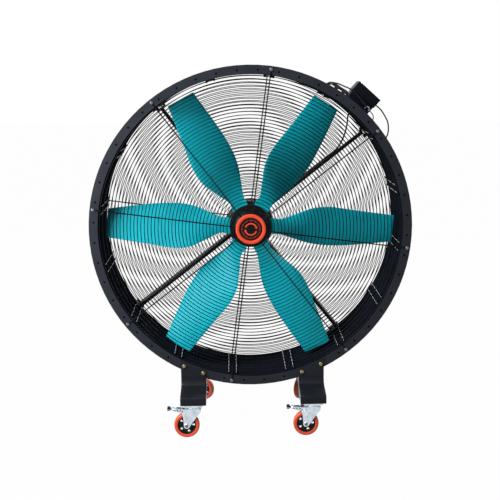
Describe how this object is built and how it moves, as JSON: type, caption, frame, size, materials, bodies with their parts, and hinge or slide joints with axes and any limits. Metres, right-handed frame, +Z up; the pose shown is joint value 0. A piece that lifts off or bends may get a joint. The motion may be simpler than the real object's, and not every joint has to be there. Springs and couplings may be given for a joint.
{
  "type": "drum fan",
  "caption": "Large portable drum fan: a rolled steel drum with wire guards, a paddle rotor on a braced motor, two bridge legs on swivel casters and a control box on its shoulder.",
  "frame": {"origin": "on the floor, under the middle of the drum", "axes": "+X to the right and +Y to the back as seen from the front, +Z up; the fan's axis runs along Y at 1.033 m"},
  "size_m": [1.6, 0.696, 1.833],
  "materials": {
    "black_coat": "satin",
    "guard_wire": "satin",
    "badge_orange": "satin",
    "black_plastic": "matte",
    "blade_plastic": "satin",
    "ground_steel": "ground",
    "motor_casting": "satin",
    "slate_enamel": "satin",
    "yellow_zinc": "yellow zinc plated",
    "zinc_plate": "bright zinc plated",
    "urethane": "satin",
    "cable_sheath": "matte"
  },
  "bodies": {
    "chassis": {"drum_shell": "black_coat", "front_guard": "guard_wire", "rear_guard": "guard_wire", "badge_ring": "badge_orange", "badge_disc": "black_plastic", "motor_body": "motor_casting", "motor_bearing": "ground_steel", "motor_mount": "black_coat", "left_leg": "black_coat", "right_leg": "black_coat", "front_leg_bolt_1": "yellow_zinc", "front_leg_bolt_2": "yellow_zinc", "front_leg_bolt_3": "yellow_zinc", "front_leg_bolt_4": "yellow_zinc", "rear_leg_bolt_1": "yellow_zinc", "rear_leg_bolt_2": "yellow_zinc", "rear_leg_bolt_3": "yellow_zinc", "rear_leg_bolt_4": "yellow_zinc", "front_left_caster_plate": "zinc_plate", "front_right_caster_plate": "zinc_plate", "rear_left_caster_plate": "zinc_plate", "rear_right_caster_plate": "zinc_plate", "control_box_base": "slate_enamel", "control_box_lid": "slate_enamel", "control_box_bracket": "black_coat", "drive_unit": "black_plastic", "motor_lead": "cable_sheath", "link_lead": "cable_sheath", "earth_lead": "cable_sheath", "supply_hank": "cable_sheath", "supply_lead": "cable_sheath", "supply_plug": "black_plastic"},
    "rotor": {"rotor_hub": "black_coat", "hub_clamp_plate": "black_coat", "motor_shaft": "ground_steel", "blade_1": "blade_plastic", "blade_2": "blade_plastic", "blade_3": "blade_plastic", "blade_4": "blade_plastic", "blade_5": "blade_plastic", "blade_6": "blade_plastic"},
    "front_left_swivel": {"front_left_fork": "zinc_plate"},
    "front_left_wheel": {"front_left_axle": "zinc_plate", "front_left_wheel_core": "black_plastic", "front_left_tread": "urethane"},
    "front_left_pedal": {"front_left_brake_pedal": "zinc_plate"},
    "front_right_swivel": {"front_right_fork": "zinc_plate"},
    "front_right_wheel": {"front_right_axle": "zinc_plate", "front_right_wheel_core": "black_plastic", "front_right_tread": "urethane"},
    "front_right_pedal": {"front_right_brake_pedal": "zinc_plate"},
    "rear_left_swivel": {"rear_left_fork": "zinc_plate"},
    "rear_left_wheel": {"rear_left_axle": "zinc_plate", "rear_left_wheel_core": "black_plastic", "rear_left_tread": "urethane"},
    "rear_right_swivel": {"rear_right_fork": "zinc_plate"},
    "rear_right_wheel": {"rear_right_axle": "zinc_plate", "rear_right_wheel_core": "black_plastic", "rear_right_tread": "urethane"},
    "knob": {"speed_knob": "black_plastic"}
  },
  "joints": [
    {"name": "rotor_spin", "type": "hinge", "parent": "chassis", "child": "rotor", "pos_m": [0, -0.085, 1.033], "axis": [0, 1, 0], "continuous": true},
    {"name": "front_left_swivel_turn", "type": "hinge", "parent": "chassis", "child": "front_left_swivel", "pos_m": [-0.298, -0.3, 0.158], "axis": [0, 0, 1], "continuous": true},
    {"name": "front_left_wheel_spin", "type": "hinge", "parent": "front_left_swivel", "child": "front_left_wheel", "pos_m": [-0.333, -0.3, 0.0635], "axis": [0, 1, 0], "continuous": true},
    {"name": "front_left_pedal_press", "type": "hinge", "parent": "front_left_swivel", "child": "front_left_pedal", "pos_m": [-0.354, -0.3, 0.138], "axis": [0, -1, 0], "range_deg": [0, 15]},
    {"name": "front_right_swivel_turn", "type": "hinge", "parent": "chassis", "child": "front_right_swivel", "pos_m": [0.298, -0.3, 0.158], "axis": [0, 0, 1], "continuous": true},
    {"name": "front_right_wheel_spin", "type": "hinge", "parent": "front_right_swivel", "child": "front_right_wheel", "pos_m": [0.263, -0.3, 0.0635], "axis": [0, 1, 0], "continuous": true},
    {"name": "front_right_pedal_press", "type": "hinge", "parent": "front_right_swivel", "child": "front_right_pedal", "pos_m": [0.242, -0.3, 0.138], "axis": [0, -1, 0], "range_deg": [0, 15]},
    {"name": "rear_left_swivel_turn", "type": "hinge", "parent": "chassis", "child": "rear_left_swivel", "pos_m": [-0.298, 0.3, 0.158], "axis": [0, 0, 1], "continuous": true},
    {"name": "rear_left_wheel_spin", "type": "hinge", "parent": "rear_left_swivel", "child": "rear_left_wheel", "pos_m": [-0.26681, 0.28411, 0.0635], "axis": [-0.454, -0.891, 0], "continuous": true},
    {"name": "rear_right_swivel_turn", "type": "hinge", "parent": "chassis", "child": "rear_right_swivel", "pos_m": [0.298, 0.3, 0.158], "axis": [0, 0, 1], "continuous": true},
    {"name": "rear_right_wheel_spin", "type": "hinge", "parent": "rear_right_swivel", "child": "rear_right_wheel", "pos_m": [0.27894, 0.27065, 0.0635], "axis": [-0.8387, 0.5446, 0], "continuous": true},
    {"name": "speed_knob_turn", "type": "hinge", "parent": "chassis", "child": "knob", "pos_m": [0.54004, 0.055, 1.64347], "axis": [0, 1, 0], "range_deg": [0, 270]}
  ]
}
